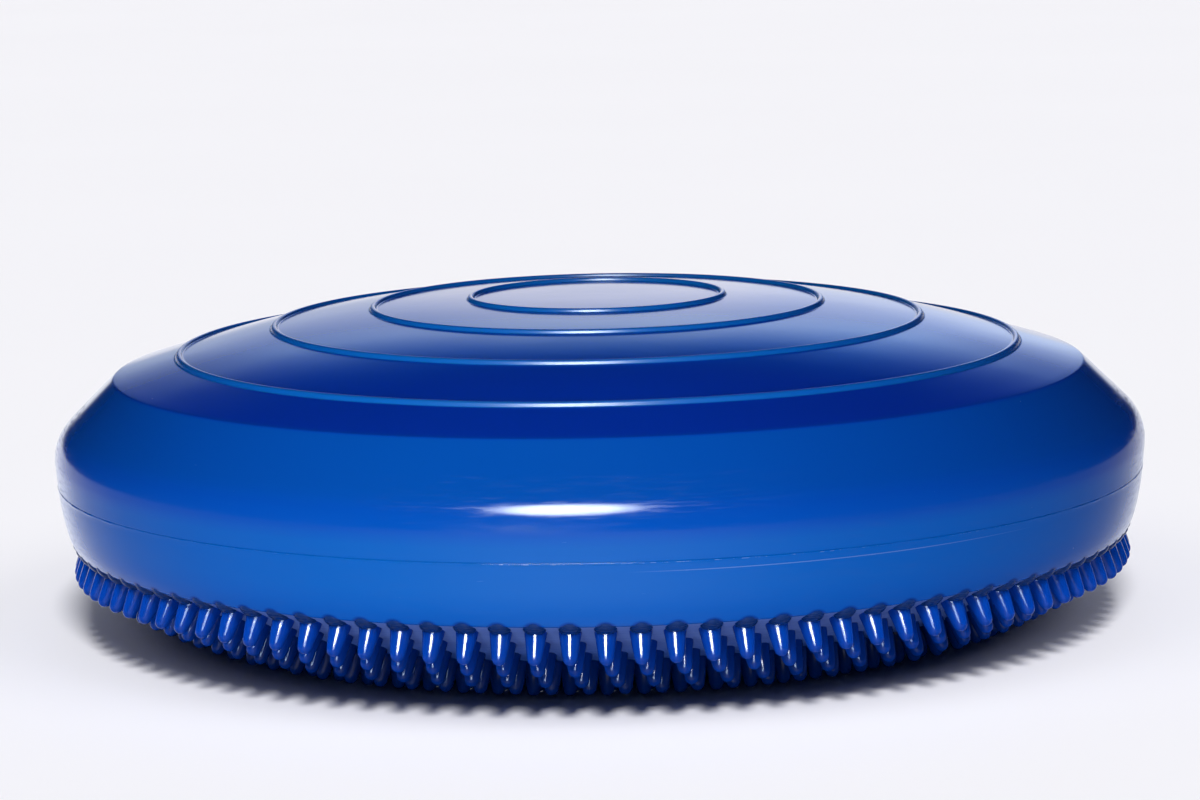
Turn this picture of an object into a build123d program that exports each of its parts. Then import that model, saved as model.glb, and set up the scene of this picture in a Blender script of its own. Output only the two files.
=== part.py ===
from build123d import *
import math
import os

os.makedirs("parts", exist_ok=True)

# ---------------------------------------------------------------------------
# Air-filled balance disc: a soft PVC bladder with a ribbed dome on top and a
# field of moulded nubs underneath, filled through a needle valve at the rear.
# Frame: +Z up, origin at the bottom centre (the floor under the nub tips),
# X to the right and Y to the rear. All lengths in mm.
# ---------------------------------------------------------------------------

# driving dimensions
SEAM_Z = 46.5          # height of the parting line above the floor
OUTER_R = 165.0        # widest radius, just above the parting line
SEAM_R = 164.35        # radius at the parting line
WALL = 3.0             # skin thickness

CREASE_R, CREASE_H = 146.8, 30.8       # edge between dome and bevel (height above seam)
BEVEL_R, BEVEL_H = 161.0, 17.0         # lower end of the bevel
SHOULDER_ARC_R = 13.66                 # rounding between bevel and side wall
DOME_POINTS = [(0.0, 51.6), (38.3, 51.0), (68.0, 48.75), (98.0, 44.1), (126.9, 36.75)]
RIB_RADII = [38.3, 68.0, 98.0, 126.9]  # the four raised rings
RIB_HEIGHTS = [51.0, 48.75, 44.1, 36.75]
RIB_BEAD_R = 1.05                      # section radius of a rib
RIB_LIFT = 0.25                        # rib centre above the skin
FLASH_R = 0.30                         # section radius of the flash line at the seam

WALL_POINTS = [(163.75, -5.0), (162.95, -9.6), (161.75, -14.4)]
CORNER_TOP = (160.6, -17.4)            # lower corner of the side wall
CORNER_BOTTOM = (158.2, -18.95)
SLOPE_DEG = 28.3                       # slope of the outer underside
FLAT_H = -37.2                         # flat middle of the underside
FLAT_R = 111.3                         # radius where the flat begins
BEND_R = 51.6                          # rounding between slope and flat

NUB_R = 2.75                           # nub radius at its root
NUB_LEN = 9.4                          # nub length from the skin
NUB_COLLAR = 0.6                       # straight part at the root
NUB_TIP_R = 1.1                        # radius of the round tip
NUB_ROOT = 1.4                         # how far a nub's root runs into the skin
# (root radius, root height above seam, outward lean in degrees, count, first angle from the front in degrees)
NUB_RINGS = [
    (156.6, -19.75, 19.0, 104, 0.17),
    (146.0, -25.50, 23.0, 95, 0.70),
    (136.6, -30.60, 24.0, 87, 1.50),
    (128.0, -34.45, 18.0, 81, 2.45),
    (120.8, -36.32, 8.0, 75, 0.30),
    (112.4, -37.10, 2.0, 69, 1.00),
    (103.4, -37.10, 0.0, 63, 0.80),
    (94.2, -37.10, 0.0, 57, 2.20),
    (85.0, -37.10, 0.0, 51, 0.40),
    (75.8, -37.10, 0.0, 45, 1.90),
    (66.6, -37.10, 0.0, 39, 3.10),
    (57.4, -37.10, 0.0, 33, 0.90),
    (48.2, -37.10, 0.0, 27, 2.70),
]

VALVE_Z = SEAM_Z - 6.0                 # height of the valve's axis
BOSS_R = 5.9
BOSS_INNER_Y = 150.0                   # inner end of the moulded boss
SOCKET_R = 4.0                         # bore of the boss, outside of the housing
RECESS_R = 5.1
RECESS_Y = 161.6                       # floor of the flange recess
FLANGE_R = 5.0
FLANGE_Y = 162.6                       # outer face of the flange
HOUSING_INNER_Y = 150.6
CORE_R = 2.8
CORE_Y0, CORE_Y1 = 151.6, 158.6
NEEDLE_R = 1.1                         # duct for an inflating needle
PLUG_BORE_R = 3.2
PLUG_STEM_R = 3.15
PLUG_HEAD_R = 4.3
PLUG_Y0, PLUG_Y1 = 159.0, 163.3


def up(r, h):
    """Point of a revolved section: radius r, height h above the seam."""
    return (r, SEAM_Z + h)


# ---------------------------------------------------------------------------
# upper_shell: dome with four ribs, bevel, rounded shoulder, upper side wall
# ---------------------------------------------------------------------------
shoulder_end = (
    BEVEL_R + SHOULDER_ARC_R * (1 - math.cos(math.radians(45))),
    BEVEL_H - SHOULDER_ARC_R * math.sin(math.radians(45)),
)
shoulder_mid = (
    BEVEL_R - SHOULDER_ARC_R * math.cos(math.radians(45)) + SHOULDER_ARC_R * math.cos(math.radians(22.5)),
    BEVEL_H - SHOULDER_ARC_R * math.sin(math.radians(45)) + SHOULDER_ARC_R * math.sin(math.radians(22.5)),
)
edge_slope = (CREASE_R - DOME_POINTS[-1][0], CREASE_H - DOME_POINTS[-1][1])

with BuildPart() as upper_shell:
    with BuildSketch(Plane.XZ) as upper_section:
        with BuildLine():
            Spline(*[up(r, h) for r, h in DOME_POINTS], up(CREASE_R, CREASE_H),
                   tangents=((1, 0), edge_slope))
            Line(up(CREASE_R, CREASE_H), up(BEVEL_R, BEVEL_H))
            ThreePointArc(up(BEVEL_R, BEVEL_H), up(*shoulder_mid), up(*shoulder_end))
            Line(up(*shoulder_end), up(SEAM_R, 0))
            Line(up(SEAM_R, 0), up(SEAM_R - WALL, 0))
            Line(up(SEAM_R - WALL, 0), up(shoulder_end[0] - WALL, shoulder_end[1] - 0.6))
            ThreePointArc(up(shoulder_end[0] - WALL, shoulder_end[1] - 0.6),
                          up(shoulder_mid[0] - WALL * 0.93, shoulder_mid[1] - WALL * 0.38),
                          up(BEVEL_R - WALL * 0.71, BEVEL_H - WALL * 0.71))
            Line(up(BEVEL_R - WALL * 0.71, BEVEL_H - WALL * 0.71),
                 up(CREASE_R - 1.6, CREASE_H - WALL))
            Spline(up(CREASE_R - 1.6, CREASE_H - WALL),
                   *[up(r, h - WALL) for r, h in reversed(DOME_POINTS)],
                   tangents=((-edge_slope[0], -edge_slope[1]), (-1, 0)))
            Line(up(0, DOME_POINTS[0][1] - WALL), up(0, DOME_POINTS[0][1]))
        make_face()
        with Locations(*[up(r, h + RIB_LIFT) for r, h in zip(RIB_RADII, RIB_HEIGHTS)]):
            Circle(RIB_BEAD_R)
    revolve(axis=Axis.Z)
upper_shell.part.label = "upper_shell"

# ---------------------------------------------------------------------------
# one massage nub, its axis on +Z, its root just below z = 0: a short collar,
# then a bullet-shaped side that runs tangent into the round tip
# ---------------------------------------------------------------------------
rise = NUB_LEN - NUB_TIP_R - NUB_COLLAR
side_r = (NUB_R ** 2 + rise ** 2 - NUB_TIP_R ** 2) / (2 * NUB_R - 2 * NUB_TIP_R)
turn = math.asin(rise / (side_r - NUB_TIP_R))
nub_mid = (NUB_R - side_r * (1 - math.cos(turn / 2)), NUB_COLLAR + side_r * math.sin(turn / 2))
nub_top = (NUB_R - side_r * (1 - math.cos(turn)), NUB_COLLAR + side_r * math.sin(turn))
half = (turn + math.pi / 2) / 2
nub_tip_mid = (NUB_TIP_R * math.cos(half), NUB_LEN - NUB_TIP_R + NUB_TIP_R * math.sin(half))

with BuildPart() as nub:
    with BuildSketch(Plane.XZ):
        with BuildLine():
            Line((0, -NUB_ROOT), (NUB_R, -NUB_ROOT))
            Line((NUB_R, -NUB_ROOT), (NUB_R, NUB_COLLAR))
            ThreePointArc((NUB_R, NUB_COLLAR), nub_mid, nub_top)
            ThreePointArc(nub_top, nub_tip_mid, (0, NUB_LEN))
            Line((0, NUB_LEN), (0, -NUB_ROOT))
        make_face()
    revolve(axis=Axis.Z)


def nub_planes(ring):
    r, h, lean, count, first = ring
    lean = math.radians(lean)
    out = []
    for i in range(count):
        a = math.radians(first + 360.0 * i / count)
        s, c = math.sin(a), -math.cos(a)
        out.append(Plane(origin=(r * s, r * c, SEAM_Z + h), x_dir=(-c, s, 0),
                         z_dir=(math.sin(lean) * s, math.sin(lean) * c, -math.cos(lean))))
    return out


# ---------------------------------------------------------------------------
# lower_shell: lower side wall, sloping underside, flat middle, all the nubs
# and the boss that holds the valve, moulded in one
# ---------------------------------------------------------------------------
slope = math.radians(SLOPE_DEG)
bend_top = (FLAT_R + BEND_R * math.sin(slope), FLAT_H + BEND_R * (1 - math.cos(slope)))
bend_mid = (FLAT_R + BEND_R * math.sin(slope / 2), FLAT_H + BEND_R * (1 - math.cos(slope / 2)))


def inward(p, a):
    """Move a point of the underside by the skin's thickness along the inner normal."""
    return (p[0] - WALL * math.sin(a), p[1] + WALL * math.cos(a))


with BuildPart() as lower_shell:
    with BuildSketch(Plane.XZ) as lower_section:
        with BuildLine():
            Spline(up(SEAM_R, 0), *[up(r, h) for r, h in WALL_POINTS], up(*CORNER_TOP))
            Line(up(*CORNER_TOP), up(*CORNER_BOTTOM))
            Line(up(*CORNER_BOTTOM), up(*bend_top))
            ThreePointArc(up(*bend_top), up(*bend_mid), up(FLAT_R, FLAT_H))
            Line(up(FLAT_R, FLAT_H), up(0, FLAT_H))
            Line(up(0, FLAT_H), up(0, FLAT_H + WALL))
            Line(up(0, FLAT_H + WALL), up(FLAT_R, FLAT_H + WALL))
            ThreePointArc(up(FLAT_R, FLAT_H + WALL), up(*inward(bend_mid, slope / 2)),
                          up(*inward(bend_top, slope)))
            Line(up(*inward(bend_top, slope)), up(CORNER_BOTTOM[0] - 1.2, CORNER_BOTTOM[1] + WALL))
            Spline(up(CORNER_BOTTOM[0] - 1.2, CORNER_BOTTOM[1] + WALL),
                   *[up(r - WALL, h) for r, h in reversed(WALL_POINTS[:2])], up(SEAM_R - WALL, 0))
            Line(up(SEAM_R - WALL, 0), up(SEAM_R, 0))
        make_face()
        with Locations(up(SEAM_R - 0.05, -FLASH_R - 0.05)):
            Circle(FLASH_R)
    revolve(axis=Axis.Z)
    # boss for the valve, on the rear of the side wall
    with BuildSketch(Plane(origin=(0, BOSS_INNER_Y, VALVE_Z), x_dir=(1, 0, 0), z_dir=(0, 1, 0))):
        Circle(BOSS_R)
    extrude(amount=RECESS_Y - BOSS_INNER_Y)
    with BuildSketch(Plane(origin=(0, BOSS_INNER_Y - 1, VALVE_Z), x_dir=(1, 0, 0), z_dir=(0, 1, 0))):
        Circle(SOCKET_R)
    extrude(amount=20, mode=Mode.SUBTRACT)
    with BuildSketch(Plane(origin=(0, RECESS_Y, VALVE_Z), x_dir=(1, 0, 0), z_dir=(0, 1, 0))):
        Circle(RECESS_R)
    extrude(amount=6, mode=Mode.SUBTRACT)
    for ring in NUB_RINGS:
        with Locations(*nub_planes(ring)):
            add(nub.part, clean=False)
lower_shell.part.label = "lower_shell"

# ---------------------------------------------------------------------------
# valve: housing, self-sealing core, pull-out plug, all on an axis along +Y
# ---------------------------------------------------------------------------


def valve_plane(y):
    return Plane(origin=(0, y, VALVE_Z), x_dir=(1, 0, 0), z_dir=(0, 1, 0))


with BuildPart() as valve_housing:
    with BuildSketch(valve_plane(HOUSING_INNER_Y)):
        Circle(SOCKET_R)
    extrude(amount=RECESS_Y - HOUSING_INNER_Y)
    with BuildSketch(valve_plane(RECESS_Y)):
        Circle(FLANGE_R)
    extrude(amount=FLANGE_Y - RECESS_Y)
    with BuildSketch(valve_plane(HOUSING_INNER_Y)):
        Circle(1.6)
    extrude(amount=CORE_Y0 - HOUSING_INNER_Y, mode=Mode.SUBTRACT)
    with BuildSketch(valve_plane(CORE_Y0)):
        Circle(CORE_R)
    extrude(amount=CORE_Y1 - CORE_Y0, mode=Mode.SUBTRACT)
    with BuildSketch(valve_plane(CORE_Y1)):
        Circle(PLUG_BORE_R)
    extrude(amount=FLANGE_Y - CORE_Y1, mode=Mode.SUBTRACT)
    chamfer(valve_housing.edges().filter_by(GeomType.CIRCLE).group_by(Axis.Y)[0].sort_by(SortBy.RADIUS)[-1], 0.5)
valve_housing.part.label = "valve_housing"

with BuildPart() as valve_core:
    with BuildSketch(valve_plane(CORE_Y0)):
        Circle(CORE_R)
        Circle(NEEDLE_R, mode=Mode.SUBTRACT)
    extrude(amount=CORE_Y1 - CORE_Y0)
valve_core.part.label = "valve_core"

with BuildPart() as valve_plug:
    with BuildSketch(valve_plane(PLUG_Y0)):
        Circle(PLUG_STEM_R)
    extrude(amount=FLANGE_Y - PLUG_Y0)
    with BuildSketch(valve_plane(FLANGE_Y)):
        Circle(PLUG_HEAD_R)
        # finger-nail notch at the top edge of the head
        with Locations((0, PLUG_HEAD_R)):
            Circle(1.2, mode=Mode.SUBTRACT)
    extrude(amount=PLUG_Y1 - FLANGE_Y)
    fillet(valve_plug.faces().sort_by(Axis.Y)[-1].outer_wire().edges(), 0.25)
    chamfer(valve_plug.faces().sort_by(Axis.Y)[0].edges(), 0.3)
valve_plug.part.label = "valve_plug"

export_step(upper_shell.part, "parts/upper_shell.step")
export_step(lower_shell.part, "parts/lower_shell.step")
export_step(valve_housing.part, "parts/valve_housing.step")
export_step(valve_core.part, "parts/valve_core.step")
export_step(valve_plug.part, "parts/valve_plug.step")
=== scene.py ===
import math

import bmesh
import bpy
import numpy as np
from mathutils import Matrix, Vector, noise


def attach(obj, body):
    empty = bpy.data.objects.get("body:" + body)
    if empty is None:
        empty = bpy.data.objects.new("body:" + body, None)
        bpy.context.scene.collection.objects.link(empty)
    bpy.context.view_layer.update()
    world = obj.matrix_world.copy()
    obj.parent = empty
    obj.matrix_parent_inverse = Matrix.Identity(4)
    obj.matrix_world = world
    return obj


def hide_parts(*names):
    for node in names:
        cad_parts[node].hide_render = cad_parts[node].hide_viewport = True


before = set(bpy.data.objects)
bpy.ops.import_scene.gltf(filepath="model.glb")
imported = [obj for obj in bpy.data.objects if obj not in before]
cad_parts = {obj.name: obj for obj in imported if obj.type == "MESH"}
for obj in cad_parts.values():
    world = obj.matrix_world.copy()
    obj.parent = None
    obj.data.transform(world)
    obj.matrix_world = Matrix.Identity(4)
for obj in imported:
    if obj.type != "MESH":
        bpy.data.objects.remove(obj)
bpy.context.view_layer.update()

MM = 0.001
SEAM = 46.5            # height of the parting line, mm
scene = bpy.context.scene

# ---------------------------------------------------------------------------
# section of the disc, in mm: radius and height above the parting line
# ---------------------------------------------------------------------------
DOME_R = np.array([0.0, 38.3, 68.0, 98.0, 126.9, 146.8])
DOME_H = np.array([51.6, 51.0, 48.75, 44.1, 36.75, 30.8])
RIBS = [38.3, 68.0, 98.0, 126.9]


def clamped_spline(x, y, d0, d1):
    """Second derivatives of a cubic spline with given end slopes."""
    n = len(x)
    a = np.zeros((n, n))
    b = np.zeros(n)
    h = np.diff(x)
    a[0, 0], a[0, 1] = 2 * h[0], h[0]
    b[0] = 6 * ((y[1] - y[0]) / h[0] - d0)
    a[-1, -1], a[-1, -2] = 2 * h[-1], h[-1]
    b[-1] = 6 * (d1 - (y[-1] - y[-2]) / h[-1])
    for i in range(1, n - 1):
        a[i, i - 1], a[i, i], a[i, i + 1] = h[i - 1], 2 * (h[i - 1] + h[i]), h[i]
        b[i] = 6 * ((y[i + 1] - y[i]) / h[i] - (y[i] - y[i - 1]) / h[i - 1])
    return np.linalg.solve(a, b)


DOME_M = clamped_spline(DOME_R, DOME_H, 0.0, (30.8 - 36.75) / (146.8 - 126.9))


def dome(r):
    i = int(min(max(np.searchsorted(DOME_R, r) - 1, 0), len(DOME_R) - 2))
    h = DOME_R[i + 1] - DOME_R[i]
    a, b = (DOME_R[i + 1] - r) / h, (r - DOME_R[i]) / h
    return (a * DOME_H[i] + b * DOME_H[i + 1]
            + ((a ** 3 - a) * DOME_M[i] + (b ** 3 - b) * DOME_M[i + 1]) * h * h / 6)


def fillet(p, q, s, radius, n):
    """Points of an arc of that radius that rounds corner q between p and s."""
    p, q, s = (np.array(v, float) for v in (p, q, s))
    u, w = (p - q) / np.linalg.norm(p - q), (s - q) / np.linalg.norm(s - q)
    half = math.acos(max(-1, min(1, float(u @ w)))) / 2
    t = radius / math.tan(half)
    c = q + (u + w) / np.linalg.norm(u + w) * radius / math.sin(half)
    a, b = q + u * t, q + w * t
    a0, a1 = math.atan2(*(a - c)[::-1]), math.atan2(*(b - c)[::-1])
    d = (a1 - a0 + math.pi) % (2 * math.pi) - math.pi
    return [(c[0] + radius * math.cos(a0 + d * i / n), c[1] + radius * math.sin(a0 + d * i / n)) for i in range(n + 1)]


def bead(r0):
    """A raised rib on the dome: small fillets at its feet and a round crest."""
    out = []
    w, hgt = 1.16, 1.10
    for i in range(15):
        t = -1 + 2 * i / 14
        x = w * t
        k = abs(t)
        if k < 0.72:
            z = hgt * math.sqrt(max(0.0, 1 - (k / 0.86) ** 2)) ** 0.95
        else:
            z = hgt * math.sqrt(1 - (0.72 / 0.86) ** 2) ** 0.95 * ((1 - k) / 0.28) ** 1.6
        out.append((r0 + x, dome(r0 + x) + z))
    return out


def upper_profile():
    pts = []
    r = 2.2
    stops = [(a - 2.2, a + 2.2) for a in RIBS] + [(145.2, 1e9)]
    k = 0
    while r < 145.0:
        if k < 4 and r > RIBS[k] - 1.8:
            a = RIBS[k]
            pts.append((a - 1.6, dome(a - 1.6)))
            pts += bead(a)
            pts.append((a + 1.6, dome(a + 1.6)))
            r = a + 2.6
            k += 1
            continue
        pts.append((r, dome(r)))
        step = 2.4
        if k < 4 and RIBS[k] - 1.8 - r < 2.4 and RIBS[k] - 1.8 - r > 0.3:
            step = max(0.8, RIBS[k] - 1.8 - r + 0.05)
        r += step
    # crease between dome and bevel
    pts += fillet((140.0, dome(140.0)), (146.8, 30.8), (161.0, 17.0), 2.2, 6)
    # bevel
    a, b = pts[-1], (161.0, 17.0)
    pts += [(a[0] + (b[0] - a[0]) * t, a[1] + (b[1] - a[1]) * t) for t in (0.05, 0.25, 0.5, 0.75, 0.92, 0.97)]
    # rounded shoulder
    for i in range(17):
        t = math.radians(45 * (1 - i / 16))
        pts.append((151.34 + 13.6 * math.cos(t), 7.34 + 13.66 * math.sin(t)))
    pts += [(164.9, 6.6), (164.72, 4.6), (164.56, 2.6), (164.42, 1.0), (164.37, 0.35), (164.35, 0.02)]
    return pts


def lower_wall():
    pts = [(164.35, 0.0), (164.40, -0.10), (164.56, -0.20), (164.62, -0.34), (164.56, -0.48), (164.36, -0.60), (164.27, -0.75)]
    return pts


WALL_Z = np.array([0.0, -5.0, -9.6, -14.4, -17.4])
WALL_R = np.array([164.35, 163.75, 162.95, 161.75, 160.6])
WALL_M = clamped_spline(-WALL_Z, WALL_R, -0.09, -0.45)


def wall_r(z):
    x = -z
    xs = -WALL_Z
    i = int(min(max(np.searchsorted(xs, x) - 1, 0), len(xs) - 2))
    h = xs[i + 1] - xs[i]
    a, b = (xs[i + 1] - x) / h, (x - xs[i]) / h
    return (a * WALL_R[i] + b * WALL_R[i + 1]
            + ((a ** 3 - a) * WALL_M[i] + (b ** 3 - b) * WALL_M[i + 1]) * h * h / 6)


SLOPE = math.radians(28.3)
FLAT_R, FLAT_H, BEND_R = 111.3, -37.2, 51.6
BEND = (FLAT_R + BEND_R * math.sin(SLOPE), FLAT_H + BEND_R * (1 - math.cos(SLOPE)))
CORNER = (158.9, -18.55)


def under_h(r):
    """Height of the underside's skin at radius r, and its slope angle."""
    if r > BEND[0]:
        return BEND[1] + (r - BEND[0]) * math.tan(SLOPE), SLOPE
    if r > FLAT_R:
        a = math.asin((r - FLAT_R) / BEND_R)
        return FLAT_H + BEND_R * (1 - math.cos(a)), a
    return FLAT_H, 0.0


WINDOW_TOP, WINDOW_STEP, WINDOW_ROWS = -0.75, 1.15, 10


def lower_profile():
    """Outer skin from the seam down to the middle of the underside. Returns points and the window's first row."""
    pts = lower_wall()
    first = len(pts) - 1
    for i in range(1, WINDOW_ROWS + 1):
        z = WINDOW_TOP - WINDOW_STEP * i
        pts.append((wall_r(z), z))
    for z in (-13.2, -14.4, -15.4):
        pts.append((wall_r(z), z))
    corner = (160.35, -17.85)
    line_end = (BEND[0], BEND[1])
    pts += fillet((wall_r(-15.4), -15.4), corner, (158.2, under_h(158.2)[0]), 1.7, 8)
    r = pts[-1][0] - 0.5
    while r > 24.0:
        pts.append((r, under_h(r)[0]))
        r -= 3.0 if r < BEND[0] else 4.0
    pts += [(18.0, FLAT_H), (11.0, FLAT_H), (5.0, FLAT_H), (2.0, FLAT_H)]
    return pts, first


def uneven(v, amount, freq):
    """A soft unevenness of moulded skin, in mm, at a point in mm."""
    return amount * (noise.noise(Vector((v[0] * freq + 11.3, v[1] * freq + 3.1, v[2] * freq + 7.7)))
                     + 0.4 * noise.noise(Vector((v[0] * freq * 2.7 + 1.3, v[1] * freq * 2.7, v[2] * freq * 2.7 + 4.2))))


SEGS = 720


def ring_xy(i, segs=SEGS):
    """Angle from the front (-Y), positive to +X."""
    a = 2 * math.pi * i / segs
    return math.sin(a), -math.cos(a)


def add_rings(verts, profile, segs=SEGS, wavy=None):
    """Adds one ring of vertices per profile point; returns the list of first indices."""
    first = []
    for k, (r, h) in enumerate(profile):
        first.append(len(verts))
        for i in range(segs):
            s, c = ring_xy(i, segs)
            rr, hh = r, h
            if wavy is not None:
                rr, hh = wavy(k, i, r, h, s, c)
            verts.append((rr * s * MM, rr * c * MM, (hh + SEAM) * MM))
    return first


def bridge(faces, a, b, segs=SEGS, skip=()):
    for i in range(segs):
        if i in skip:
            continue
        j = (i + 1) % segs
        faces.append((a + i, b + i, b + j, a + j))


def make(name, verts, faces, material, smooth=True, sharp_deg=None):
    me = bpy.data.meshes.new(name)
    me.from_pydata(verts, [], faces)
    me.validate(verbose=False)
    bm = bmesh.new()
    bm.from_mesh(me)
    bmesh.ops.recalc_face_normals(bm, faces=bm.faces)
    bm.to_mesh(me)
    bm.free()
    me.polygons.foreach_set("use_smooth", [smooth] * len(me.polygons))
    if sharp_deg is not None:
        me.set_sharp_from_angle(angle=math.radians(sharp_deg))
    o = bpy.data.objects.new(name, me)
    scene.collection.objects.link(o)
    me.materials.append(material)
    return o


# ---------------------------------------------------------------------------
# materials
# ---------------------------------------------------------------------------
def new_material(name):
    m = bpy.data.materials.new(name)
    m.use_nodes = True
    nt = m.node_tree
    nt.nodes.clear()
    out = nt.nodes.new("ShaderNodeOutputMaterial")
    bsdf = nt.nodes.new("ShaderNodeBsdfPrincipled")
    nt.links.new(bsdf.outputs[0], out.inputs[0])
    return m, nt, bsdf


def node(nt, kind, **inputs):
    n = nt.nodes.new(kind)
    for k, v in inputs.items():
        if hasattr(n, k):
            setattr(n, k, v)
        else:
            n.inputs[k.replace("_", " ")].default_value = v
    return n


def math_node(nt, op, a, b=None, c=None, clamp=False):
    n = nt.nodes.new("ShaderNodeMath")
    n.operation = op
    n.use_clamp = clamp
    for i, v in enumerate((a, b, c)):
        if v is None:
            continue
        if isinstance(v, (int, float)):
            n.inputs[i].default_value = v
        else:
            nt.links.new(v, n.inputs[i])
    return n.outputs[0]


def mix_color(nt, fac, a, b):
    n = nt.nodes.new("ShaderNodeMix")
    n.data_type = "RGBA"
    for sock, v in ((n.inputs[0], fac), (n.inputs[6], a), (n.inputs[7], b)):
        if isinstance(v, (int, float)):
            sock.default_value = v
        elif isinstance(v, tuple):
            sock.default_value = v
        else:
            nt.links.new(v, sock)
    return n.outputs[2]


def ramp(nt, fac, stops):
    n = nt.nodes.new("ShaderNodeValToRGB")
    el = n.color_ramp.elements
    while len(el) < len(stops):
        el.new(0.5)
    for e, (p, c) in zip(el, stops):
        e.position = p
        e.color = c if isinstance(c, tuple) else (c, c, c, 1)
    nt.links.new(fac, n.inputs[0])
    return n.outputs[0]


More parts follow.
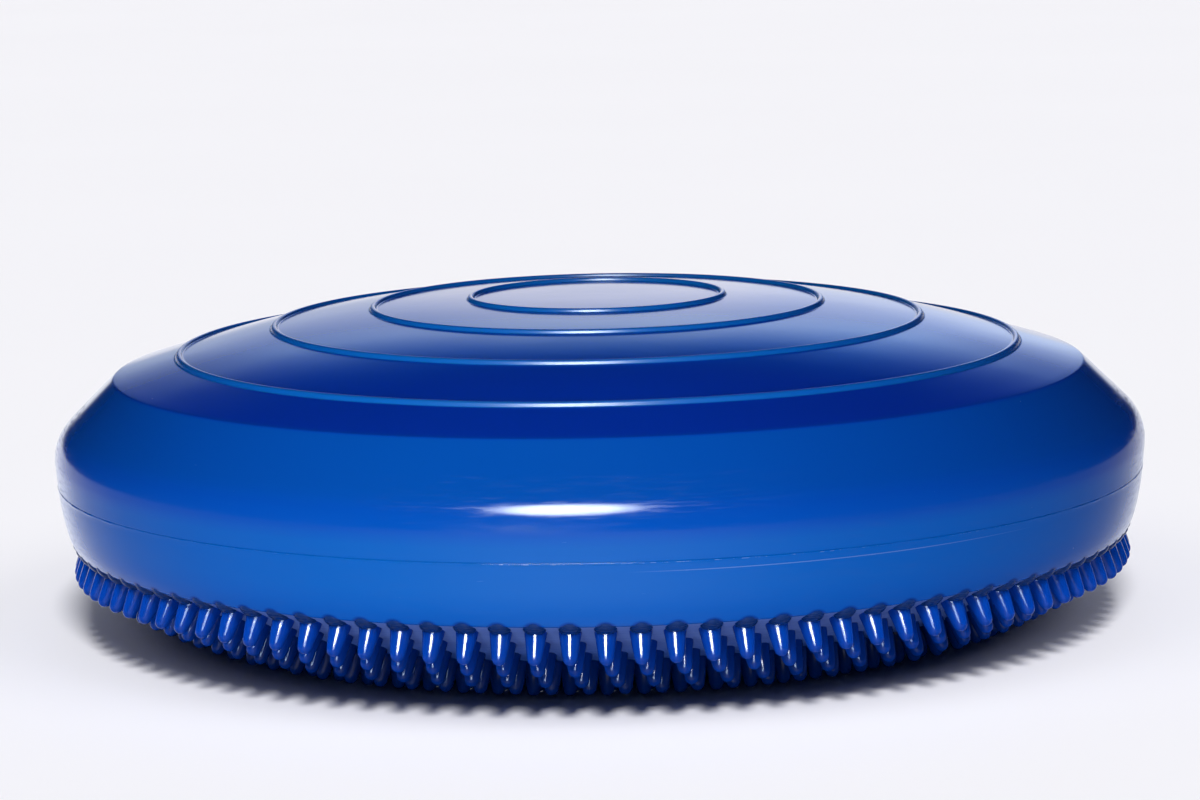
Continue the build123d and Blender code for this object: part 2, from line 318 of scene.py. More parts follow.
def pvc(name, base, seam_marks=True, rough=0.11):
    """Glossy soft PVC: a slight colour drift with painted light and shade by height, on the rib flanks and round the
    nub roots, faint swirl marks, dust and fine scratches.
    """
    m, nt, bsdf = new_material(name)
    tc = nt.nodes.new("ShaderNodeTexCoord")
    obj = tc.outputs["Object"]
    sep = nt.nodes.new("ShaderNodeSeparateXYZ")
    nt.links.new(obj, sep.inputs[0])
    x, y, z = sep.outputs
    # colour drift over a hand's width
    drift = node(nt, "ShaderNodeTexNoise", Scale=9.0, Detail=3.0, Roughness=0.5)
    nt.links.new(obj, drift.inputs["Vector"])
    # painted light: the tone changes with height, darker at the wall's foot, less green round the shoulder and bevel
    # and deepest on the dome, standing in for how the light falls on each band
    facing = nt.nodes.new("ShaderNodeSeparateXYZ")
    nt.links.new(tc.outputs["Normal"], facing.inputs[0])
    high = math_node(nt, "MULTIPLY_ADD", z, 1000.0 / 56.0, -(SEAM - 20.0) / 56.0, clamp=True)
    # painted light: the ribs' flanks, steeper than the dome about them, are given the lighter bevel tone, as if they
    # caught the front light
    rib = math_node(nt, "MULTIPLY", math_node(nt, "LESS_THAN", facing.outputs[2], 0.93), math_node(nt, "GREATER_THAN", high, 0.925))
    high = math_node(nt, "MULTIPLY_ADD", rib, -0.22, high)
    painted_light_tones = [(0.05, (1.0, 0.80, 0.90)), (0.13, (1.0, 0.92, 0.97)), (0.21, (1.0, 1.0, 1.0)), (0.43, (1.0, 1.0, 1.0)), (0.50, (1.0, 0.74, 0.96)),
             (0.60, (1.0, 0.74, 1.02)), (0.67, (1.0, 0.89, 1.12)), (0.895, (1.0, 0.89, 1.12)), (0.915, (1.0, 0.48, 1.30))]
    lo = ramp(nt, high, [(p, tuple(0.93 * c * k for c, k in zip(base, t)) + (1,)) for p, t in painted_light_tones])
    hi = ramp(nt, high, [(p, tuple(1.07 * c * k for c, k in zip(base, t)) + (1,)) for p, t in painted_light_tones])
    colour = mix_color(nt, drift.outputs[0], lo, hi)
    radius = math_node(nt, "SQRT", math_node(nt, "ADD", math_node(nt, "MULTIPLY", x, x), math_node(nt, "MULTIPLY", y, y)))
    inward = math_node(nt, "MULTIPLY_ADD", radius, 1000.0 / 60.0, -110.0 / 60.0, clamp=True)
    if base[0] >= 0.05:
        # painted reflection: the pale tone, standing in for the lit floor mirrored in the skin, lies on the outer slope
        # and thins out towards the middle
        colour = mix_color(nt, ramp(nt, inward, [(0.15, 0.0), (0.62, 1.0)]), (0.0012, 0.072, 0.37, 1), colour)
    elif not seam_marks:
        # painted shade: the nubs behind the outermost rings are darkened, standing in for the shade under the disc
        shade_in = ramp(nt, inward, [(0.0, 0.85), (0.15, 0.60), (0.30, 0.46), (0.52, 0.62), (0.66, 0.88), (0.74, 1.0)])
        deep_in = nt.nodes.new("ShaderNodeVectorMath")
        deep_in.operation = "MULTIPLY"
        nt.links.new(colour, deep_in.inputs[0])
        nt.links.new(shade_in, deep_in.inputs[1])
        colour = deep_in.outputs[0]
    if seam_marks:
        # painted light: the rib flanks are painted a lighter blue, as if lit from the front
        colour = mix_color(nt, math_node(nt, "MULTIPLY", rib, 0.6), colour, (0.003, 0.150, 0.520, 1))
    # dust: a few pale specks
    dust = node(nt, "ShaderNodeTexVoronoi", Scale=210.0, Randomness=1.0)
    nt.links.new(obj, dust.inputs["Vector"])
    cell = nt.nodes.new("ShaderNodeSeparateColor")
    nt.links.new(dust.outputs["Color"], cell.inputs[0])
    speck_on = math_node(nt, "GREATER_THAN", cell.outputs[0], 0.95)
    speck_in = math_node(nt, "LESS_THAN", dust.outputs["Distance"], math_node(nt, "MULTIPLY", cell.outputs[1], 0.075))
    speck = math_node(nt, "MULTIPLY", speck_on, speck_in)
    speck_amt = math_node(nt, "MULTIPLY", speck, 0.38)
    colour = mix_color(nt, speck_amt, colour, (0.42, 0.50, 0.68, 1))
    marks = speck_amt
    if seam_marks:
        # angle round the disc, for marks that follow the parting line
        ang = math_node(nt, "ARCTAN2", x, math_node(nt, "MULTIPLY", y, -1.0))
        zmm = math_node(nt, "MULTIPLY", z, 1000.0)
        along = nt.nodes.new("ShaderNodeCombineXYZ")
        nt.links.new(math_node(nt, "MULTIPLY", ang, 95.0), along.inputs[0])
        nt.links.new(math_node(nt, "MULTIPLY", zmm, 0.6), along.inputs[1])
        dash = node(nt, "ShaderNodeTexNoise", Scale=1.0, Detail=4.0, Roughness=0.62)
        nt.links.new(along.outputs[0], dash.inputs["Vector"])
        dashes = ramp(nt, dash.outputs[0], [(0.52, 0.0), (0.60, 1.0)])
        where = ramp(nt, math_node(nt, "ADD", ang, 0.5), [(0.0, 0.06), (0.300, 0.08), (0.322, 1.0), (0.425, 1.0), (0.450, 0.20), (0.72, 0.30), (1.0, 0.12)])
        zone = node(nt, "ShaderNodeTexNoise", Scale=24.0, Detail=1.0, Roughness=0.4)
        nt.links.new(obj, zone.inputs["Vector"])
        dashes = math_node(nt, "MULTIPLY", math_node(nt, "MULTIPLY", dashes, where), ramp(nt, zone.outputs[0], [(0.40, 0.25), (0.55, 1.0)]))
        off = math_node(nt, "ABSOLUTE", math_node(nt, "SUBTRACT", zmm, SEAM - 0.26))
        band = math_node(nt, "LESS_THAN", off, 0.085)
        seam = math_node(nt, "MULTIPLY", math_node(nt, "MULTIPLY", band, dashes), 0.75)
        colour = mix_color(nt, seam, colour, (0.42, 0.55, 0.80, 1))
        marks = math_node(nt, "MAXIMUM", marks, seam)
        # painted shade: the skin is darkened in an oval where it runs into the roots of the outermost nubs, standing in
        # for the shade under the wall's lower edge
        step = math_node(nt, "MULTIPLY_ADD", ang, 104.0 / (2 * math.pi), 0.5 - 0.17 * 104.0 / 360.0)
        across = math_node(nt, "MULTIPLY_ADD", math_node(nt, "FRACT", step), 9.67, -4.835)
        rise = math_node(nt, "SUBTRACT", zmm, SEAM - 19.1)
        oval = math_node(nt, "ADD", math_node(nt, "POWER", math_node(nt, "ABSOLUTE", math_node(nt, "DIVIDE", across, 3.35)), 2.0), math_node(nt, "POWER", math_node(nt, "ABSOLUTE", math_node(nt, "DIVIDE", rise, 2.75)), 2.0))
        root = ramp(nt, oval, [(0.55, 0.80), (1.0, 0.0)])
        colour = mix_color(nt, root, colour, (0.0006, 0.014, 0.15, 1))
        # one faint scuff line just below the parting line, right of the front
        zline = math_node(nt, "ADD", math_node(nt, "MULTIPLY", ang, 0.55), SEAM - 2.75)
        off2 = math_node(nt, "ABSOLUTE", math_node(nt, "SUBTRACT", zmm, zline))
        line2 = math_node(nt, "LESS_THAN", off2, 0.13)
        fade = ramp(nt, math_node(nt, "MULTIPLY_ADD", ang, 0.5, 0.25), [(0.27, 0.0), (0.34, 0.30), (0.52, 0.30), (0.66, 0.0)])
        scuff = math_node(nt, "MULTIPLY", math_node(nt, "MULTIPLY", line2, fade), 0.8)
        colour = mix_color(nt, scuff, colour, (0.25, 0.38, 0.66, 1))
        marks = math_node(nt, "MAXIMUM", marks, scuff)
    nt.links.new(colour, bsdf.inputs["Base Color"])
    # roughness: a little uneven, rougher on the marks
    cloud = node(nt, "ShaderNodeTexNoise", Scale=38.0, Detail=4.0, Roughness=0.6)
    nt.links.new(obj, cloud.inputs["Vector"])
    rgh = math_node(nt, "MULTIPLY_ADD", cloud.outputs[0], 0.07, rough - 0.035)
    rgh = math_node(nt, "ADD", rgh, math_node(nt, "MULTIPLY", marks, 0.35))
    # fine rub streaks that run round the disc
    streak_at = nt.nodes.new("ShaderNodeCombineXYZ")
    nt.links.new(math_node(nt, "MULTIPLY", math_node(nt, "ARCTAN2", x, math_node(nt, "MULTIPLY", y, -1.0)), 20.0), streak_at.inputs[0])
    nt.links.new(math_node(nt, "MULTIPLY", z, 1500.0), streak_at.inputs[1])
    nt.links.new(math_node(nt, "MULTIPLY", math_node(nt, "SQRT", math_node(nt, "ADD", math_node(nt, "MULTIPLY", x, x), math_node(nt, "MULTIPLY", y, y))), 700.0), streak_at.inputs[2])
    streak = node(nt, "ShaderNodeTexNoise", Scale=1.0, Detail=3.0, Roughness=0.6)
    nt.links.new(streak_at.outputs[0], streak.inputs["Vector"])
    low_down = math_node(nt, "LESS_THAN", z, (SEAM + 22.0) / 1000.0)
    rub = math_node(nt, "MULTIPLY", ramp(nt, streak.outputs[0], [(0.45, 0.0), (0.75, 0.16)]), low_down)
    rgh = math_node(nt, "ADD", rgh, rub)
    rgh = math_node(nt, "MULTIPLY_ADD", rib, 0.14, rgh)
    nt.links.new(rgh, bsdf.inputs["Roughness"])
    # bump: fine orange-peel of the moulded skin, and wider soft ripples
    fine = node(nt, "ShaderNodeTexNoise", Scale=420.0, Detail=2.0, Roughness=0.5)
    nt.links.new(obj, fine.inputs["Vector"])
    wide = node(nt, "ShaderNodeTexNoise", Scale=46.0, Detail=3.0, Roughness=0.5)
    nt.links.new(obj, wide.inputs["Vector"])
    height = math_node(nt, "ADD", math_node(nt, "MULTIPLY", fine.outputs[0], 0.010), math_node(nt, "MULTIPLY", wide.outputs[0], 0.10))
    height = math_node(nt, "ADD", height, math_node(nt, "MULTIPLY", marks, 0.03))
    height = math_node(nt, "ADD", height, math_node(nt, "MULTIPLY", rub, 0.03))
    bump = nt.nodes.new("ShaderNodeBump")
    bump.inputs["Strength"].default_value = 0.35
    bump.inputs["Distance"].default_value = 0.001
    nt.links.new(height, bump.inputs["Height"])
    nt.links.new(bump.outputs[0], bsdf.inputs["Normal"])
    bsdf.inputs["IOR"].default_value = 1.43
    return m


BASE = (0.0010, 0.085, 0.370)
mat_upper = pvc("upper_pvc", BASE)
mat_lower = pvc("lower_pvc", BASE)
# the nubs' PVC is a deeper, less green copy: painted shade for the rim's shadow over them
mat_nub = pvc("nub_pvc", (0.0010, 0.054, 0.37), seam_marks=False, rough=0.10)


def underside(name):
    """The skin between the nubs: the same PVC, matt, painted pale as a painted reflection of the lit floor."""
    return pvc(name, (0.075, 0.170, 0.46), seam_marks=False, rough=0.36)


mat_under = underside("underside_pvc")


def rubber(name, base, rough):
    m, nt, bsdf = new_material(name)
    tc = nt.nodes.new("ShaderNodeTexCoord")
    grain = node(nt, "ShaderNodeTexNoise", Scale=900.0, Detail=3.0, Roughness=0.6)
    nt.links.new(tc.outputs["Object"], grain.inputs["Vector"])
    colour = mix_color(nt, grain.outputs[0], tuple(c * 0.85 for c in base) + (1,), tuple(min(1, c * 1.15) for c in base) + (1,))
    nt.links.new(colour, bsdf.inputs["Base Color"])
    nt.links.new(math_node(nt, "MULTIPLY_ADD", grain.outputs[0], 0.12, rough - 0.06), bsdf.inputs["Roughness"])
    bump = nt.nodes.new("ShaderNodeBump")
    bump.inputs["Strength"].default_value = 0.3
    bump.inputs["Distance"].default_value = 0.0002
    nt.links.new(grain.outputs[0], bump.inputs["Height"])
    nt.links.new(bump.outputs[0], bsdf.inputs["Normal"])
    return m


mat_housing = rubber("valve_plastic", (0.004, 0.05, 0.26), 0.38)
mat_core = rubber("valve_rubber", (0.018, 0.018, 0.020), 0.62)
mat_plug = rubber("plug_plastic", (0.003, 0.045, 0.24), 0.34)

# ---------------------------------------------------------------------------
# upper shell: dome with four ribs, bevel, rounded shoulder
# ---------------------------------------------------------------------------
up_pts = upper_profile()
verts, faces = [], []


def wavy_upper(k, i, r, h, s, c):
    d = uneven((r * s, r * c, h), 0.14, 0.018)
    fade = min(1.0, max(0.0, h / 6.0))
    return r - 0.02, h + d * 0.5 * fade - 0.1 * fade


rings = add_rings(verts, up_pts, wavy=wavy_upper)
for a, b in zip(rings, rings[1:]):
    bridge(faces, a, b)
top = len(verts)
verts.append((0, 0, (dome(0) - 0.1 + SEAM) * MM))
for i in range(SEGS):
    faces.append((top, rings[0] + i, rings[0] + (i + 1) % SEGS))
inner = [(161.35, 0.02), (161.9, 7.0), (158.9, 15.0), (145.2, 27.8)] + [(r, dome(r) - 3.0) for r in (126.9, 98.0, 68.0, 38.3, 12.0)]
irings = add_rings(verts, inner)
bridge(faces, rings[-1], irings[0])
for a, b in zip(irings, irings[1:]):
    bridge(faces, a, b)
mid = len(verts)
verts.append((0, 0, (dome(0) - 3.0 + SEAM) * MM))
for i in range(SEGS):
    faces.append((mid, irings[-1] + (i + 1) % SEGS, irings[-1] + i))
upper = make("upper_shell_skin", verts, faces, mat_upper)
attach(upper, "disc")
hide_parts("upper_shell")

# ---------------------------------------------------------------------------
# lower shell: side wall with the flash line, underside, valve opening
# ---------------------------------------------------------------------------
low_pts, win_row = lower_profile()
verts, faces = [], []
HALF = 6                      # the window's half width in segments
BACK = SEGS // 2              # the rear is half way round
FLASH_ROWS = set(range(1, 6))


def wavy_lower(k, i, r, h, s, c):
    if k in FLASH_ROWS:
        a = i * 2 * math.pi / SEGS
        n = noise.noise(Vector((math.sin(a) * 26, math.cos(a) * 26, 2.0))) + 0.6 * noise.noise(Vector((math.sin(a) * 90, math.cos(a) * 90, 5.0)))
        base = wall_r(h)
        amt = min(0.6, max(0.06, 0.26 + 0.4 * n))
        return base + (r - base) * amt, h + 0.05 * noise.noise(Vector((math.sin(a) * 14, math.cos(a) * 14, 9.0)))
    return r, h


rings = add_rings(verts, low_pts, wavy=wavy_lower)
skip = set(range(BACK - HALF, BACK + HALF))
for k, (a, b) in enumerate(zip(rings, rings[1:])):
    inside = win_row <= k < win_row + WINDOW_ROWS
    bridge(faces, a, b, skip=skip if inside else ())
mid = len(verts)
verts.append((0, 0, (FLAT_H + SEAM) * MM))
for i in range(SEGS):
    faces.append((mid, rings[-1] + i, rings[-1] + (i + 1) % SEGS))

# inner skin, with a window of the same size
in_rows = [(161.35, 0.0), (161.2, WINDOW_TOP)]
for i in range(1, WINDOW_ROWS + 1):
    z = WINDOW_TOP - WINDOW_STEP * i
    in_rows.append((wall_r(z) - 3.0, z))
in_rows += [(158.0, -14.5), (157.0, -16.0)]
for r in (150.0, 143.0, 135.0, 127.0, 119.0, 111.0):
    h, a = under_h(r)
    in_rows.append((r - 3.0 * math.sin(a), h + 3.0 * math.cos(a)))
in_rows += [(80.0, FLAT_H + 3), (40.0, FLAT_H + 3), (10.0, FLAT_H + 3)]
irings = add_rings(verts, in_rows)
bridge(faces, rings[0], irings[0])
for k, (a, b) in enumerate(zip(irings, irings[1:])):
    inside = 1 <= k < 1 + WINDOW_ROWS
    bridge(faces, a, b, skip=skip if inside else ())
mid = len(verts)
verts.append((0, 0, (FLAT_H + 3 + SEAM) * MM))
for i in range(SEGS):
    faces.append((mid, irings[-1] + i, irings[-1] + (i + 1) % SEGS))

# the valve opening: loops that run from the window's edge to a circle
VALVE_H = -6.0


def window_loop(rows, row0):
    """Vertex indices round the window, and their (x, height) in mm."""
    idx = []
    cols = list(range(BACK - HALF, BACK + HALF + 1))
    idx += [rows[row0] + c for c in cols]
    idx += [rows[row0 + j] + cols[-1] for j in range(1, WINDOW_ROWS + 1)]
    idx += [rows[row0 + WINDOW_ROWS] + c for c in reversed(cols[:-1])]
    idx += [rows[row0 + j] + cols[0] for j in range(WINDOW_ROWS - 1, 0, -1)]
    return idx


def circle_at(loop, radius, y=None, skin=None):
    """A ring of vertices on a circle round the valve's axis, one for each vertex of loop."""
    out = []
    for i in loop:
        v = verts[i]
        dx, dz = v[0] / MM, v[2] / MM - SEAM - VALVE_H
        a = math.atan2(dz, dx)
        px, pz = radius * math.cos(a), VALVE_H + radius * math.sin(a)
        py = y if y is not None else math.sqrt(skin(pz) ** 2 - px ** 2)
        out.append(len(verts))
        verts.append((px * MM, py * MM, (pz + SEAM) * MM))
    return out


def between(loop_a, loop_b, t, skin):
    out = []
    for i, j in zip(loop_a, loop_b):
        a, b = verts[i], verts[j]
        px = (a[0] * (1 - t) + b[0] * t) / MM
        pz = (a[2] * (1 - t) + b[2] * t) / MM - SEAM
        py = math.sqrt(skin(pz) ** 2 - px ** 2)
        out.append(len(verts))
        verts.append((px * MM, py * MM, (pz + SEAM) * MM))
    return out


def join(a, b):
    n = len(a)
    for i in range(n):
        j = (i + 1) % n
        faces.append((a[i], b[i], b[j], a[j]))


outer_loop = window_loop(rings, win_row)
rim = circle_at(outer_loop, 5.10 + 0.12, skin=wall_r)
last = outer_loop
for t in (0.35, 0.7):
    nxt = between(outer_loop, rim, t, wall_r)
    join(last, nxt)
    last = nxt
join(last, rim)
chain = [rim]
# rounded lip, recess floor, bore through the boss, its inner end and its outside
lip = []
for i in rim:
    v = verts[i]
    dx, dz = v[0] / MM, v[2] / MM - SEAM - VALVE_H
    a = math.atan2(dz, dx)
    lip.append(len(verts))
    verts.append((5.10 * math.cos(a) * MM, v[1] - 0.12 * MM, (VALVE_H + 5.10 * math.sin(a) + SEAM) * MM))
chain.append(lip)
for radius, y in ((5.10, 161.6), (4.0, 161.6), (4.0, 161.45), (4.0, 150.15), (4.15, 150.0), (5.75, 150.0), (5.9, 150.15)):
    chain.append(circle_at(outer_loop, radius, y=y))
inner_loop = window_loop(irings, 1)
for a, b in zip(chain, chain[1:]):
    join(a, b)


def inner_skin(z):
    return wall_r(z) - 3.0


boss = circle_at(inner_loop, 5.9, skin=inner_skin)
join(chain[-1], boss)
join(boss, inner_loop)


# the nubs: closed bullets whose flared roots run into the skin
NUB_RINGS = [
    (155.1, 28.3, 104, 0.17),
    (145.5, 28.0, 95, 0.70),
    (136.2, 26.0, 87, 1.50),
    (127.6, 18.0, 81, 2.45),
    (120.4, 9.0, 75, 0.30),
    (112.3, 2.0, 69, 1.00),
    (103.4, 0.0, 63, 0.80),
    (94.2, 0.0, 57, 2.20),
    (85.0, 0.0, 51, 0.40),
    (75.8, 0.0, 45, 1.90),
    (66.6, 0.0, 39, 3.10),
    (57.4, 0.0, 33, 0.90),
    (48.2, 0.0, 27, 2.70),
]
NUB_LEN = 9.35


def nub_profile():
    """(radius, distance from the skin) from the root to the tip: low swelling at the root, cone, blunt round tip."""
    pts = [(3.12, -0.9), (3.12, -0.12), (3.10, 0.25), (3.06, 0.65), (3.00, 1.05), (2.93, 1.40), (2.865, 1.70), (2.82, 1.95), (2.78, 2.25)]
    pts += [(2.74, 2.6), (2.62, 3.5), (2.49, 4.4), (2.36, 5.3), (2.22, 6.2), (2.08, 7.0)]
    for i in range(1, 9):
        t = (math.pi / 2) * (0.15 + 0.85 * i / 9)
        pts.append((2.06 * math.cos(t) ** 0.93, 7.05 + 2.19 * math.sin(t) ** 1.06))
    return pts


NUB = nub_profile()
NS = 24


SKIN = np.array(lower_profile()[0])
SKIN = SKIN[7:]


def onto_skin(p, depth):
    """Moves a point to that depth under the skin, if it lies further out than that."""
    r, h = math.hypot(p.x, p.y), p.z - SEAM
    q = np.array((r, h))
    a, b = SKIN[:-1], SKIN[1:]
    ab = b - a
    t = np.clip(((q - a) * ab).sum(1) / (ab * ab).sum(1), 0, 1)
    foot = a + ab * t[:, None]
    d2 = ((q - foot) ** 2).sum(1)
    i = int(d2.argmin())
    n = np.array((-ab[i][1], ab[i][0]))
    n /= np.linalg.norm(n)
    out = float(n @ (q - foot[i]))
    if out <= -depth:
        return p
    q = foot[i] - n * depth
    k = q[0] / r
    return Vector((p.x * k, p.y * k, q[1] + SEAM))


def add_nub(r, lean_deg, angle_deg, length=1.0, tilt=(0.0, 0.0)):
    h, _ = under_h(r)
    a = math.radians(angle_deg)
    s, c = math.sin(a), -math.cos(a)
    lean = math.radians(lean_deg + tilt[0])
    origin = Vector((r * s, r * c, h + SEAM))
    axis = Vector((math.sin(lean) * s, math.sin(lean) * c, -math.cos(lean)))
    side = Vector((-c, s, 0))
    axis = (axis + side * math.radians(tilt[1])).normalized()
    u = side - axis * side.dot(axis)
    u.normalize()
    w = axis.cross(u)
    first = len(verts)
    for row, (rr, d) in enumerate(NUB):
        for k in range(NS):
            t = 2 * math.pi * (k + 0.5) / NS
            p = origin + axis * (d * length if d > 0 else d) + (u * math.cos(t) + w * math.sin(t)) * rr
            if row < 2:
                p = onto_skin(p, (1.1, 0.25)[row])
            verts.append(tuple(p * MM))
    for j in range(len(NUB) - 1):
        a0, b0 = first + j * NS, first + (j + 1) * NS
        for k in range(NS):
            n = (k + 1) % NS
            faces.append((a0 + k, b0 + k, b0 + n, a0 + n))
    tip = len(verts)
    verts.append(tuple((origin + axis * 9.26 * length) * MM))
    e = first + (len(NUB) - 1) * NS
    for k in range(NS):
        faces.append((tip, e + (k + 1) % NS, e + k))
    foot = len(verts)
    verts.append(tuple((origin + axis * -0.9) * MM))
    for k in range(NS):
        faces.append((foot, first + k, first + (k + 1) % NS))


lower = make("lower_shell_skin", verts, faces, mat_lower)
lower.data.materials.append(mat_under)
for f in lower.data.polygons:
    if f.center.z < (SEAM - 18.9) * MM and math.hypot(f.center.x, f.center.y) < 0.1583 and f.normal.z < 0:
        f.material_index = 1

verts, faces = [], []
rng = np.random.default_rng(578)
for ring_no, (r, lean, count, start) in enumerate(NUB_RINGS):
    for i in range(count):
        j = rng.normal(0, 1, 4)
        stand = 1.0 + 0.006 * max(-1.5, min(0.0, j[0]))
        add_nub(r, lean, start + 360.0 * i / count + 0.03 * max(-2, min(2, j[1])), stand, (0.9 * max(-1.5, min(1.5, j[2])), 0.9 * max(-1.5, min(1.5, j[3]))))
nubs = make("lower_shell_nubs", verts, faces, mat_nub)

# the roots of the outermost nubs: low rounded collars that run up over the wall's lower edge
verts, faces = [], []
for i in range(NUB_RINGS[0][2]):
    a = math.radians(NUB_RINGS[0][3] + 360.0 * i / NUB_RINGS[0][2])
    s, c = math.sin(a), -math.cos(a)
    up, out_r = math.sin(math.radians(35)), math.cos(math.radians(35))
    first = len(verts)
    for j in range(1, 12):
        v = math.pi * j / 12
        for k in range(24):
            t = 2 * math.pi * k / 24
            side, along, away = 3.22 * math.sin(v) * math.cos(t), 3.65 * math.sin(v) * math.sin(t), 1.75 * math.cos(v)
            rr = 157.6 + along * out_r + away * up
            hh = -18.85 + along * up - away * out_r
            verts.append(((rr * s - side * c) * MM, (rr * c + side * s) * MM, (hh + SEAM) * MM))
    for j in range(10):
        for k in range(24):
            n = (k + 1) % 24
            faces.append((first + j * 24 + k, first + (j + 1) * 24 + k, first + (j + 1) * 24 + n, first + j * 24 + n))
    for row, sign in ((0, 1), (10, -1)):
        tip = len(verts)
        rr, hh = 157.6 + sign * 1.75 * up, -18.85 - sign * 1.75 * out_r
        verts.append((rr * s * MM, rr * c * MM, (hh + SEAM) * MM))
        e = first + row * 24
        for k in range(24):
            n = (k + 1) % 24
            faces.append((tip, e + k, e + n) if sign > 0 else (tip, e + n, e + k))
# painted shade: the collars are a much darker copy of the PVC, for the dark arches in the shade under the wall's edge
mat_collar = pvc("collar_pvc", (0.0008, 0.032, 0.165), seam_marks=False, rough=0.24)
collars = make("lower_shell_collars", verts, faces, mat_collar)
for o in (lower, nubs, collars):
    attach(o, "disc")
    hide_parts("lower_shell")

for name, mat in (("valve_housing", mat_housing), ("valve_core", mat_core), ("valve_plug", mat_plug)):
    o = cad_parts[name]
    o.data.materials.clear()
    o.data.materials.append(mat)

# ---------------------------------------------------------------------------
# floor, light and camera
# ---------------------------------------------------------------------------
floor_mat, nt, bsdf = new_material("floor_paper")
tc = nt.nodes.new("ShaderNodeTexCoord")
paper = node(nt, "ShaderNodeTexNoise", Scale=2.2, Detail=3.0, Roughness=0.5)
nt.links.new(tc.outputs["Object"], paper.inputs["Vector"])
nt.links.new(mix_color(nt, paper.outputs[0], (0.862, 0.852, 0.882, 1), (0.882, 0.872, 0.902, 1)), bsdf.inputs["Base Color"])
bsdf.inputs["Roughness"].default_value = 0.9
bsdf.inputs["Specular IOR Level"].default_value = 0.0

me = bpy.data.meshes.new("floor")
n = 96
fv = [(0, 0, 0)] + [(14 * math.sin(2 * math.pi * i / n), 14 * math.cos(2 * math.pi * i / n), 0) for i in range(n)]
ff = [(0, 1 + i, 1 + (i + 1) % n) for i in range(n)]
me.from_pydata(fv, [], ff)
floor = bpy.data.objects.new("floor", me)
scene.collection.objects.link(floor)
me.materials.append(floor_mat)
floor.visible_glossy = False

# the shaded patch of floor under the disc, for mirror images only
me = bpy.data.meshes.new("under_shade")
me.from_pydata([(0, 0, 0.0004)] + [(0.151 * math.sin(2 * math.pi * i / n), 0.151 * math.cos(2 * math.pi * i / n), 0.0004) for i in range(n)], [], ff)
shade = bpy.data.objects.new("under_shade", me)
scene.collection.objects.link(shade)
shade_mat, nt, bsdf = new_material("shade")
bsdf.inputs["Base Color"].default_value = (0.01, 0.01, 0.02, 1)
bsdf.inputs["Roughness"].default_value = 1.0
bsdf.inputs["Specular IOR Level"].default_value = 0.0
me.materials.append(shade_mat)
shade.visible_camera = False
shade.visible_diffuse = False
shade.visible_shadow = False
shade.visible_transmission = False

# world: what the glossy skin mirrors. A bright backdrop stands low behind the disc, dim room above,
# and the pale table lies below the horizon, brightest near the disc's front and far behind it
world = bpy.data.worlds.new("studio")
scene.world = world
world.use_nodes = True
nt = world.node_tree
nt.nodes.clear()
out = nt.nodes.new("ShaderNodeOutputWorld")
bg = nt.nodes.new("ShaderNodeBackground")
nt.links.new(bg.outputs[0], out.inputs[0])
tc = nt.nodes.new("ShaderNodeTexCoord")
sep = nt.nodes.new("ShaderNodeSeparateXYZ")
nt.links.new(tc.outputs["Generated"], sep.inputs[0])
wx, wy, wz = sep.outputs
turn = math_node(nt, "DIVIDE", math_node(nt, "ARCTAN2", math_node(nt, "ABSOLUTE", wx), wy), math.pi)   # 0 rear, 1 front
glow = ramp(nt, wz, [(0.0, (0.50, 0.51, 0.55, 1)), (0.10, (0.56, 0.58, 0.67, 1)), (0.174, (0.46, 0.51, 0.66, 1)), (0.232, (0.41, 0.48, 0.66, 1)), (0.302, (0.46, 0.60, 0.83, 1)),
                     (0.33, (0.30, 0.44, 0.70, 1)), (0.40, (0.105, 0.235, 0.49, 1)), (0.438, (0.037, 0.13, 0.33, 1)), (0.50, (0.0, 0.03, 0.10, 1)), (0.56, (0.0, 0.0, 0.0, 1))])
wide = ramp(nt, turn, [(0.0, (1, 1, 1, 1)), (0.012, (1, 1, 1, 1)), (0.025, (0.80, 0.86, 0.96, 1)), (0.055, (0.66, 0.78, 0.94, 1)), (0.080, (0.10, 0.16, 0.30, 1)), (0.10, (0, 0, 0, 1))])
glow_mul = nt.nodes.new("ShaderNodeVectorMath")
glow_mul.operation = "MULTIPLY"
nt.links.new(glow, glow_mul.inputs[0])
nt.links.new(wide, glow_mul.inputs[1])
glow_add = nt.nodes.new("ShaderNodeVectorMath")
glow_add.operation = "MULTIPLY_ADD"
nt.links.new(glow_mul.outputs[0], glow_add.inputs[0])
lean = math_node(nt, "MULTIPLY_ADD", wx, 2.8, 2.0)
lean_c = nt.nodes.new("ShaderNodeCombineXYZ")
for i in range(3):
    nt.links.new(lean, lean_c.inputs[i])
nt.links.new(lean_c.outputs[0], glow_add.inputs[1])
glow_add.inputs[2].default_value = (0.003, 0.005, 0.008)
table = ramp(nt, turn, [(0.0, 1.0), (0.14, 1.0), (0.20, 0.60), (0.244, 0.42), (0.333, 0.22), (0.47, 0.13), (0.667, 0.10), (0.76, 0.17), (0.83, 0.33), (0.917, 0.52), (1.0, 0.58)])
deep = ramp(nt, math_node(nt, "MULTIPLY", wz, -1.0), [(0.0, 1.0), (0.53, 1.0), (0.62, 0.62), (0.74, 0.40), (0.85, 0.50), (1.0, 0.55)])
side = math_node(nt, "MULTIPLY_ADD", wx, -0.35, 1.0)
table = math_node(nt, "MULTIPLY", math_node(nt, "MULTIPLY", table, deep), side)
above = math_node(nt, "MULTIPLY_ADD", wz, 40.0, 0.5, clamp=True)
tint_low = nt.nodes.new("ShaderNodeVectorMath")
tint_low.operation = "SCALE"
tint_low.inputs[0].default_value = (1.0, 1.02, 1.10)
nt.links.new(table, tint_low.inputs["Scale"])
nt.links.new(mix_color(nt, above, tint_low.outputs[0], glow_add.outputs[0]), bg.inputs[0])
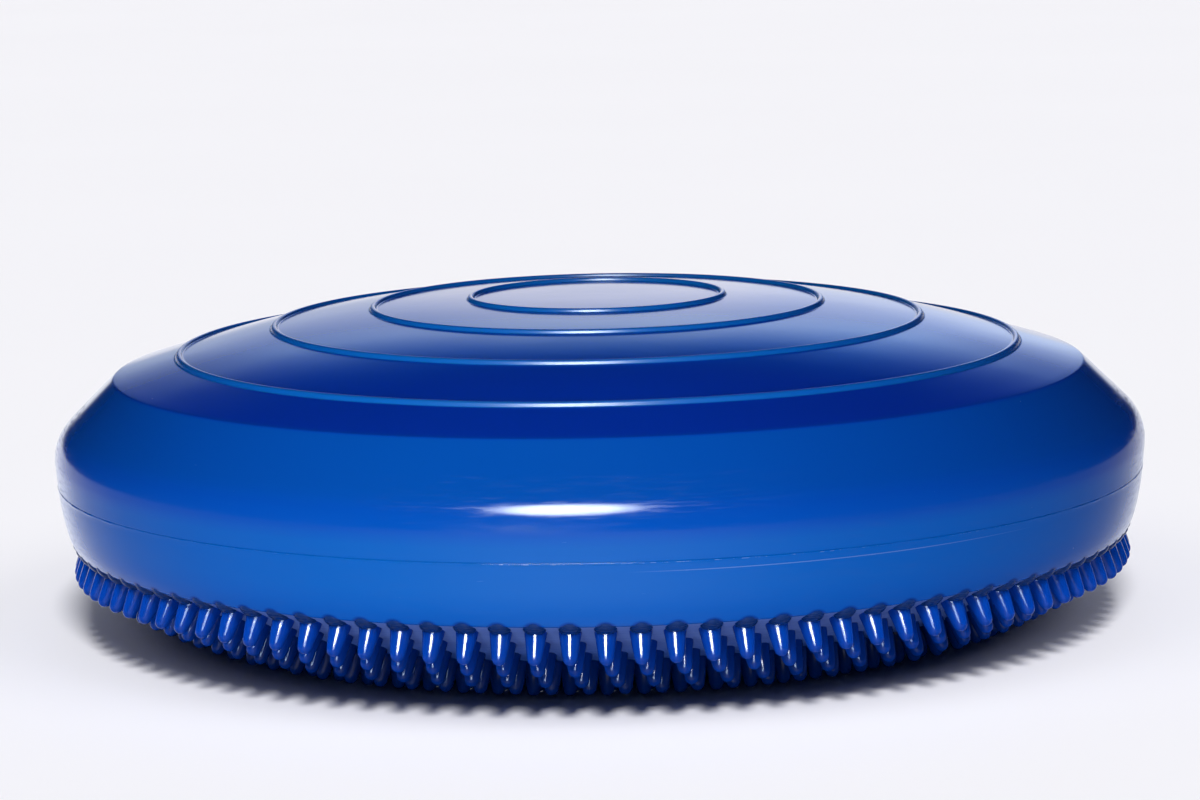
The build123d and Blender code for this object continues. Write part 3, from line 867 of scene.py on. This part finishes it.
bg.inputs[1].default_value = 1.0


def sun(name, az, el, angle, strength, color=(1, 1, 1), glossy=True, only=None):
    """Far light: az is measured from the front (-Y), positive to +X."""
    d = bpy.data.lights.new(name, "SUN")
    d.energy = strength
    d.angle = math.radians(angle)
    d.color = color
    o = bpy.data.objects.new(name, d)
    scene.collection.objects.link(o)
    a, e = math.radians(az), math.radians(el)
    src = Vector((math.sin(a) * math.cos(e), -math.cos(a) * math.cos(e), math.sin(e)))
    o.rotation_mode = "QUATERNION"
    o.rotation_quaternion = src.to_track_quat("Z", "Y")
    o.visible_glossy = glossy
    if only is not None:
        o.light_linking.receiver_collection = only
    return o


def group(name, objects):
    c = bpy.data.collections.new(name)
    for o in objects:
        c.objects.link(o)
    return c


valve_pieces = [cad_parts[n] for n in ("valve_housing", "valve_core", "valve_plug")]
roots_too = group("lit_nubs_and_roots", [nubs, collars])
shell_only = group("lit_shell", [upper, lower] + valve_pieces)
nubs_only = group("lit_nubs", [nubs])
floor_only = group("lit_floor", [floor])

sun("key", -10, 46, 24, math.pi * 0.12, glossy=False, only=shell_only)
sun("nub_key", -8, 50, 22, math.pi * 0.95, glossy=False, only=roots_too)
sun("nub_front", -14, 6, 30, math.pi * 0.18, glossy=False, only=roots_too)
for az, amount in ((-95, 0.40), (95, 0.40), (175, 0.75)):
    sun(f"nub_side_{az}", az, 46, 24, math.pi * amount, glossy=False, only=roots_too)
sun("rear_fill", 170, 6, 60, math.pi * 0.42, color=(0.30, 0.45, 1.0), glossy=False, only=shell_only)
sun("right_fill", 95, 12, 50, math.pi * 0.15, color=(0.10, 0.32, 1.0), glossy=False, only=shell_only)
sun("floor_front", 3, 48, 13, math.pi * 0.97, glossy=False, only=floor_only)
sun("floor_left", -62, 46, 36, math.pi * 0.11, glossy=False, only=floor_only)
sun("floor_right", 62, 46, 36, math.pi * 0.17, glossy=False, only=floor_only)
sun("floor_top", 0, 80, 40, math.pi * 0.11, glossy=False, only=floor_only)

# a wide soft lamp near the camera, low, left of it: most of the side wall's light, falling off towards the sides
lamp_data = bpy.data.lights.new("front_lamp", "AREA")
lamp_data.shape = "DISK"
lamp_data.size = 0.6
lamp_data.color = (0.62, 0.62, 1.0)
lamp_data.energy = 11.4
lamp = bpy.data.objects.new("front_lamp", lamp_data)
scene.collection.objects.link(lamp)
a, e = math.radians(-14.0), math.radians(8.0)
src = Vector((math.sin(a) * math.cos(e), -math.cos(a) * math.cos(e), math.sin(e)))
lamp.location = Vector((0, 0, 0.05)) + src * 1.15
lamp.rotation_mode = "QUATERNION"
lamp.rotation_quaternion = src.to_track_quat("Z", "Y")
lamp.visible_glossy = False
lamp.visible_camera = False
lamp.light_linking.receiver_collection = shell_only

# a soft-edged spot from the same side, centred a little left of the front
spot_data = bpy.data.lights.new("front_spot", "SPOT")
spot_data.spot_size = math.radians(19.5)
spot_data.spot_blend = 1.0
spot_data.shadow_soft_size = 0.12
spot_data.color = (1.0, 1.0, 0.20)
spot_data.energy = 22.6
spot = bpy.data.objects.new("front_spot", spot_data)
scene.collection.objects.link(spot)
spot.location = lamp.location
aim = (spot.location - Vector((-0.030, -0.155, 0.055))).normalized()
spot.rotation_mode = "QUATERNION"
spot.rotation_quaternion = aim.to_track_quat("Z", "Y")
spot.visible_glossy = False
spot.visible_camera = False
spot.light_linking.receiver_collection = shell_only

# a tall oval softbox above the camera: it is what the rim and the ribs mirror
box = bpy.data.lights.new("softbox", "AREA")
box.shape = "ELLIPSE"
box.size, box.size_y = 1.24, 1.36
box.color = (0.86, 0.95, 1.0)
box.energy = 46.0 * math.pi * math.pi * box.size * box.size_y / 4
softbox = bpy.data.objects.new("softbox", box)
scene.collection.objects.link(softbox)
a, e = math.radians(-9.5), math.radians(51.0)
src = Vector((math.sin(a) * math.cos(e), -math.cos(a) * math.cos(e), math.sin(e)))
softbox.location = Vector((0, -0.16, 0.05)) + src * 2.5
softbox.rotation_mode = "QUATERNION"
softbox.rotation_quaternion = src.to_track_quat("Z", "Y")
box.use_nodes = True
nt = box.node_tree
emit = [n for n in nt.nodes if n.type == "EMISSION"][0]
geo = nt.nodes.new("ShaderNodeNewGeometry")
uv = nt.nodes.new("ShaderNodeVectorMath")
uv.operation = "DISTANCE"
uv.inputs[1].default_value = (0.5, 0.5, 0.0)
nt.links.new(geo.outputs["Parametric"], uv.inputs[0])
nt.links.new(ramp(nt, uv.outputs["Value"], [(0.0, 1.0), (0.28, 0.90), (0.40, 0.42), (0.50, 0.06)]), emit.inputs["Strength"])
softbox.visible_diffuse = False
softbox.visible_camera = False
softbox.light_linking.receiver_collection = shell_only

# a narrower one below it, which the nubs mirror as upright strips
strip_data = bpy.data.lights.new("strip", "AREA")
strip_data.shape = "RECTANGLE"
strip_data.size, strip_data.size_y = 1.15, 1.25
strip_data.color = (0.86, 0.95, 1.0)
strip_data.energy = 70.0 * math.pi * strip_data.size * strip_data.size_y
strip = bpy.data.objects.new("strip", strip_data)
scene.collection.objects.link(strip)
a, e = math.radians(-7.0), math.radians(34.0)
src = Vector((math.sin(a) * math.cos(e), -math.cos(a) * math.cos(e), math.sin(e)))
strip.location = Vector((0, -0.16, 0.02)) + src * 2.5
strip.rotation_mode = "QUATERNION"
strip.rotation_quaternion = src.to_track_quat("Z", "Y")
strip.visible_diffuse = False
strip.visible_camera = False
strip.light_linking.receiver_collection = nubs_only

# and a small dim one low down, for the glints on the nubs towards the sides
low_data = bpy.data.lights.new("strip_low", "AREA")
low_data.shape = "RECTANGLE"
low_data.size, low_data.size_y = 1.0, 0.55
low_data.color = (0.62, 0.82, 1.0)
low_data.energy = 15.0 * math.pi * low_data.size * low_data.size_y
low = bpy.data.objects.new("strip_low", low_data)
scene.collection.objects.link(low)
a, e = math.radians(-7.0), math.radians(12.0)
src = Vector((math.sin(a) * math.cos(e), -math.cos(a) * math.cos(e), math.sin(e)))
low.location = Vector((0, -0.16, 0.02)) + src * 2.5
low.rotation_mode = "QUATERNION"
low.rotation_quaternion = src.to_track_quat("Z", "Y")
low.visible_diffuse = False
low.visible_camera = False
low.light_linking.receiver_collection = nubs_only

cam_data = bpy.data.cameras.new("camera")
cam = bpy.data.objects.new("camera", cam_data)
scene.collection.objects.link(cam)
cam_data.sensor_width = 36.0
cam_data.sensor_fit = "HORIZONTAL"
cam_data.lens = 117.783
cam_data.clip_start, cam_data.clip_end = 0.05, 60.0
right = Vector((0.99976758, -0.00348701, -0.02127522))
upv = Vector((0.02155724, 0.1487713, 0.98863663))
fwd = Vector((0.00028224, 0.98886548, -0.1488119))
m = Matrix.Identity(4)
for k, v in enumerate((right, upv, -fwd)):
    for j in range(3):
        m[j][k] = v[j]
m[0][3], m[1][3], m[2][3] = 0.0, -1.18396, 0.19704 + SEAM * MM
cam.matrix_world = m
scene.camera = cam

scene.view_settings.view_transform = "Standard"

bpy.context.view_layer.update()
